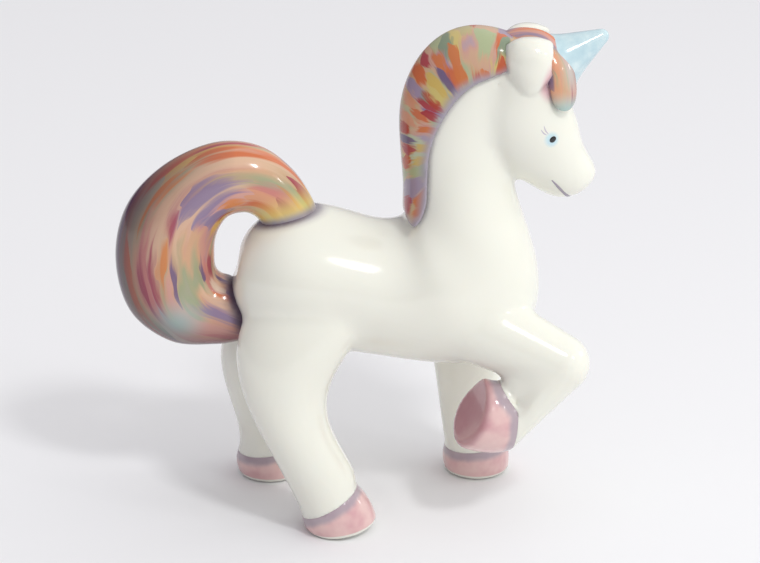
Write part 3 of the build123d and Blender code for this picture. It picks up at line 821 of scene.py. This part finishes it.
class FIGURINE_OT_horn(bpy.types.Operator):
    """Horn: blunt cone with a round tip and a soft flare at the forehead. A profile turned round the horn's axis:
    a straight flank plus a flare that dies away upwards, then an arc of the tip's radius"""
    bl_idname = "figurine.horn"
    bl_label = "Horn"

    def execute(self, context):
        sizes, colours = context.scene.figurine_sizes, context.scene.figurine_colours
        foot, tip, tall = sizes.horn_radius / MM, sizes.horn_tip / MM, sizes.horn_length / MM
        lean = math.atan2(foot - tip, tall - tip)
        rise = np.linspace(HORN_ROOT, tall - tip + tip * math.sin(lean), 60)
        flank = foot + (tip / math.cos(lean) - foot) * np.clip(rise, HORN_FLANK_END, None) / (tall - tip)
        flank = flank + HORN_FLARE * np.exp(-np.clip(rise - HORN_FLARE_START, 0, None) / HORN_FLARE_FALL)
        dome = np.linspace(lean, math.pi / 2 - 0.02, 20)
        heights = np.concatenate([rise, tall - tip + tip * np.sin(dome[1:])])
        radii = np.concatenate([flank, tip * np.cos(dome[1:])])
        turn = np.linspace(0, 2 * math.pi, 72, endpoint=False)
        axis = np.array([math.cos(HORN_RISE), 0.0, math.sin(HORN_RISE)])
        level = np.array([-math.sin(HORN_RISE), 0.0, math.cos(HORN_RISE)])
        ring = level * np.cos(turn)[:, None] + np.array([0, 1, 0]) * np.sin(turn)[:, None]
        points = HORN_BASE + axis * heights[:, None, None] + radii[:, None, None] * ring
        mesh = grid_mesh("horn", place(points))
        set_attribute(mesh, "rise", np.repeat(heights, len(turn)) * MM)
        material, tree, shader = glaze("pale blue brushed ceramic glaze", colours.horn_blue, 0.14, 0.5)
        where = add(tree, "ShaderNodeTexCoord").outputs["Object"]
        blotch = add(tree, "ShaderNodeTexNoise", None, {"Scale": 1 / (3 * MM), "Detail": 3.0}, {"Vector": where})
        tint = add(tree, "ShaderNodeValToRGB", None, None, {"Fac": blotch.outputs["Fac"]})
        ramp_colours(tint.color_ramp, ["A4C4D1", "B2D0DA", "C0DAE1", "D6E8EA"], "LINEAR")
        band = smooth_step(tree, read(tree, "rise"), (HORN_BAND[0] * MM, HORN_BAND[1] * MM), (0.7, 0.0))
        tree.links.new(painted(tree, tint.outputs["Color"], colours.lavender, band), shader.inputs["Base Color"])
        finish_piece(new_object("horn_glaze", mesh), material, "horn_glaze", "horn")
        return {"FINISHED"}


class FIGURINE_OT_face(bpy.types.Operator):
    """Black of the eyes, lash lines and mouth line, drawn on the skin in raised glaze"""
    bl_idname = "figurine.face"
    bl_label = "Face"

    def execute(self, context):
        sizes, colours = context.scene.figurine_sizes, context.scene.figurine_colours
        black, _, _ = glaze("black dotted ceramic glaze", colours.pupil, 0.1, 0.5)
        line, _, _ = glaze("lavender lined ceramic glaze", colours.lavender, 0.2, 0.3)
        faint, _, _ = glaze("pale lavender lined ceramic glaze", colours.lash, 0.2, 0.3)
        for (spot, normal), name in zip(eye_places(), ("right_pupil", "left_pupil")):
            finish_piece(new_object(name, self.dome(name, spot, normal, sizes.pupil)), black, "white_glaze")
        skin = bpy.data.objects["white_glaze_skin"].data
        tree = BVHTree.FromPolygons([v.co for v in skin.vertices], [p.vertices for p in skin.polygons])
        mouth = MOUTH + [(x, -y, z) for x, y, z in MOUTH[-2::-1]]
        item = new_object("mouth_line", self.stroke("mouth", tree, mouth, sizes.mouth_width))
        finish_piece(item, line, "white_glaze")
        for side, word in ((1, "right"), (-1, "left")):
            for step, lash in enumerate(LASHES):
                points = [mirrored(point, side) for point in lash]
                mesh = self.stroke("lash", tree, points, sizes.lash_width)
                finish_piece(new_object(f"{word}_lash_{step + 1}", mesh), faint, "white_glaze")
        return {"FINISHED"}

    def dome(self, name, spot, normal, reach):
        """Flattened ball set half into the skin: radius reach along the eye, four fifths of it across and a quarter of
        it out of the skin."""
        normal = unit(normal)
        slant = np.array([0.85, 0.0, 0.53])
        lift = unit(slant - normal * (normal @ slant))
        across = np.cross(normal, lift)
        high = np.linspace(-math.pi / 2 + 0.05, math.pi / 2 - 0.05, 16)[:, None, None]
        turn = np.linspace(0, 2 * math.pi, 32, endpoint=False)[None, :, None]
        points = spot + reach * (np.cos(high) * (lift * np.cos(turn) + 0.8 * across * np.sin(turn))
                                 + 0.25 * normal * np.sin(high))
        return grid_mesh(name, points)

    def stroke(self, name, tree, points, half_width):
        """Brush line: lens-shaped profile carried along the places nearest to the given points on the skin, thin at
        both ends."""
        found = [tree.find_nearest(Vector(place(point))) for point in points]
        spine = through([spot for spot, _, _, _ in found], 60)
        facing = unit(through([normal for _, normal, _, _ in found], 60))
        run = unit(np.gradient(spine, axis=0))
        across = unit(np.cross(run, facing))
        thin = half_width * np.sin(np.linspace(0.06, math.pi - 0.06, 60)) ** 0.5
        turn = np.linspace(0, 2 * math.pi, 16, endpoint=False)
        grid = (spine[:, None] + across[:, None] * (thin[:, None] * np.cos(turn))[..., None]
                + facing[:, None] * (0.3 * thin[:, None] * np.sin(turn))[..., None])
        return grid_mesh(name, grid)


class FIGURINE_OT_outlines(bpy.types.Operator):
    """Soft lavender outlines on the white skin round tail, mane, forelock and horn, and painted shade under the tail"""
    bl_idname = "figurine.outlines"
    bl_label = "Outlines"

    def execute(self, context):
        skin = bpy.data.objects["white_glaze_skin"].data
        points = vertices(skin)
        share, under = np.zeros(len(points)), np.zeros(len(points))
        for name, width, depth in OUTLINES:
            others = vertices(bpy.data.objects[name].data)
            low, high = others.min(0) - width * MM, others.max(0) + width * MM
            near = np.flatnonzero(((points > low) & (points < high)).all(1))
            gap = nearest(points[near], others[::2])
            share[near] = np.maximum(share[near], depth * fade(gap, width * MM))
            if name == "tail_glaze":
                # Painted shade on the skin below the tail.
                low_down = np.clip((UNDER_TAIL_BELOW - points[near, 2] / MM) / UNDER_TAIL_CHANGE, 0, 1)
                under[near] = UNDER_TAIL_DEPTH * fade(gap, UNDER_TAIL * MM) * low_down
        set_attribute(skin, "outline", share)
        set_attribute(skin, "shade_under_tail", under)
        return {"FINISHED"}


class FIGURINE_OT_stage(bpy.types.Operator):
    """Plain pale floor, soft studio light and the camera of the photograph's view"""
    bl_idname = "figurine.stage"
    bl_label = "Stage"

    def execute(self, context):
        scene, colours = context.scene, context.scene.figurine_colours
        reach = FLOOR_REACH
        mesh = bpy.data.meshes.new("floor")
        mesh.from_pydata([(-reach, -reach, 0), (reach, -reach, 0), (reach, reach, 0), (-reach, reach, 0)], [],
                         [(0, 1, 2, 3)])
        floor = bpy.data.objects.new("floor", mesh)
        scene.collection.objects.link(floor)
        card = bpy.data.materials.new("white card")
        card.use_nodes = True
        card.node_tree.nodes["Principled BSDF"].inputs["Base Color"].default_value = (*colours.floor, 1)
        card.node_tree.nodes["Principled BSDF"].inputs["Roughness"].default_value = 0.9
        mesh.materials.append(card)
        world = bpy.data.worlds.new("studio")
        scene.world = world
        world.use_nodes = True
        self.room(world.node_tree)
        target = Vector(place(TARGET))
        for box in SOFTBOXES:
            self.softbox(scene, target, *box)
        self.camera(scene, target)
        scene.view_settings.view_transform = "Standard"
        return {"FINISHED"}

    def room(self, tree):
        """Pale room, brightest above and on the right of the picture, dim and lavender low on the left."""
        way = add(tree, "ShaderNodeTexCoord").outputs["Generated"]
        split = add(tree, "ShaderNodeSeparateXYZ", None, None, {"Vector": way})
        lifted = add(tree, "ShaderNodeMath", {"operation": "MULTIPLY_ADD"}, {1: ROOM_LIFT},
                     {0: split.outputs["Z"], 2: split.outputs["X"]})
        share = smooth_step(tree, lifted.outputs[0], (ROOM_FROM, ROOM_TO), (0.0, 1.0))
        tone = add(tree, "ShaderNodeMix", {"data_type": "RGBA"}, {"A": ROOM_DIM, "B": ROOM_BRIGHT}, {"Factor": share})
        tree.links.new(tone.outputs["Result"], tree.nodes["Background"].inputs["Color"])
        tree.nodes["Background"].inputs["Strength"].default_value = ROOM_STRENGTH

    def softbox(self, scene, target, name, azimuth, elevation, size, power):
        """Square softbox on a sphere round the figurine, facing it."""
        a, e = math.radians(azimuth), math.radians(elevation)
        away = Vector((math.sin(a) * math.cos(e), -math.cos(a) * math.cos(e), math.sin(e)))
        lamp = bpy.data.lights.new(name, "AREA")
        lamp.size = size
        lamp.energy = power
        item = bpy.data.objects.new(name, lamp)
        item.location = target + away * BOX_DISTANCE
        item.rotation_euler = away.to_track_quat("Z", "Y").to_euler()
        scene.collection.objects.link(item)

    def camera(self, scene, target):
        """Long lens, looking down a little, square on to the figurine's right side."""
        rise = math.radians(CAMERA_RISE)
        lens = bpy.data.cameras.new("camera")
        lens.sensor_fit = "HORIZONTAL"
        lens.sensor_width = CAMERA_SENSOR
        lens.lens = CAMERA_LENS
        item = bpy.data.objects.new("camera", lens)
        item.location = target + Vector((0, -math.cos(rise), math.sin(rise))) * CAMERA_DISTANCE
        item.rotation_euler = (math.pi / 2 - rise, 0, 0)
        scene.collection.objects.link(item)
        scene.camera = item


OPERATORS = (FIGURINE_OT_skin, FIGURINE_OT_hooves, FIGURINE_OT_mane, FIGURINE_OT_tail, FIGURINE_OT_forelock,
             FIGURINE_OT_horn, FIGURINE_OT_face, FIGURINE_OT_outlines, FIGURINE_OT_stage)


class FIGURINE_PT_panel(bpy.types.Panel):
    """Pieces of the figurine, in the order in which they are made"""
    bl_idname = "FIGURINE_PT_panel"
    bl_label = "Glazed figurine"
    bl_space_type = "VIEW_3D"
    bl_region_type = "UI"
    bl_category = "Figurine"

    def draw(self, context):
        for operator in OPERATORS:
            self.layout.operator(operator.bl_idname)
        for group in (context.scene.figurine_sizes, context.scene.figurine_colours):
            for name in group.__annotations__:
                self.layout.prop(group, name)


CLASSES = (FigurineSizes, FigurineColours, *OPERATORS, FIGURINE_PT_panel)


def register():
    for item in CLASSES:
        bpy.utils.register_class(item)
    bpy.types.Scene.figurine_sizes = PointerProperty(type=FigurineSizes)
    bpy.types.Scene.figurine_colours = PointerProperty(type=FigurineColours)


def unregister():
    del bpy.types.Scene.figurine_colours
    del bpy.types.Scene.figurine_sizes
    for item in reversed(CLASSES):
        bpy.utils.unregister_class(item)


def main():
    register()
    bpy.ops.figurine.skin()
    bpy.ops.figurine.hooves()
    bpy.ops.figurine.mane()
    bpy.ops.figurine.tail()
    bpy.ops.figurine.forelock()
    bpy.ops.figurine.horn()
    bpy.ops.figurine.face()
    bpy.ops.figurine.outlines()
    bpy.ops.figurine.stage()


if __name__ == "__main__":
    main()
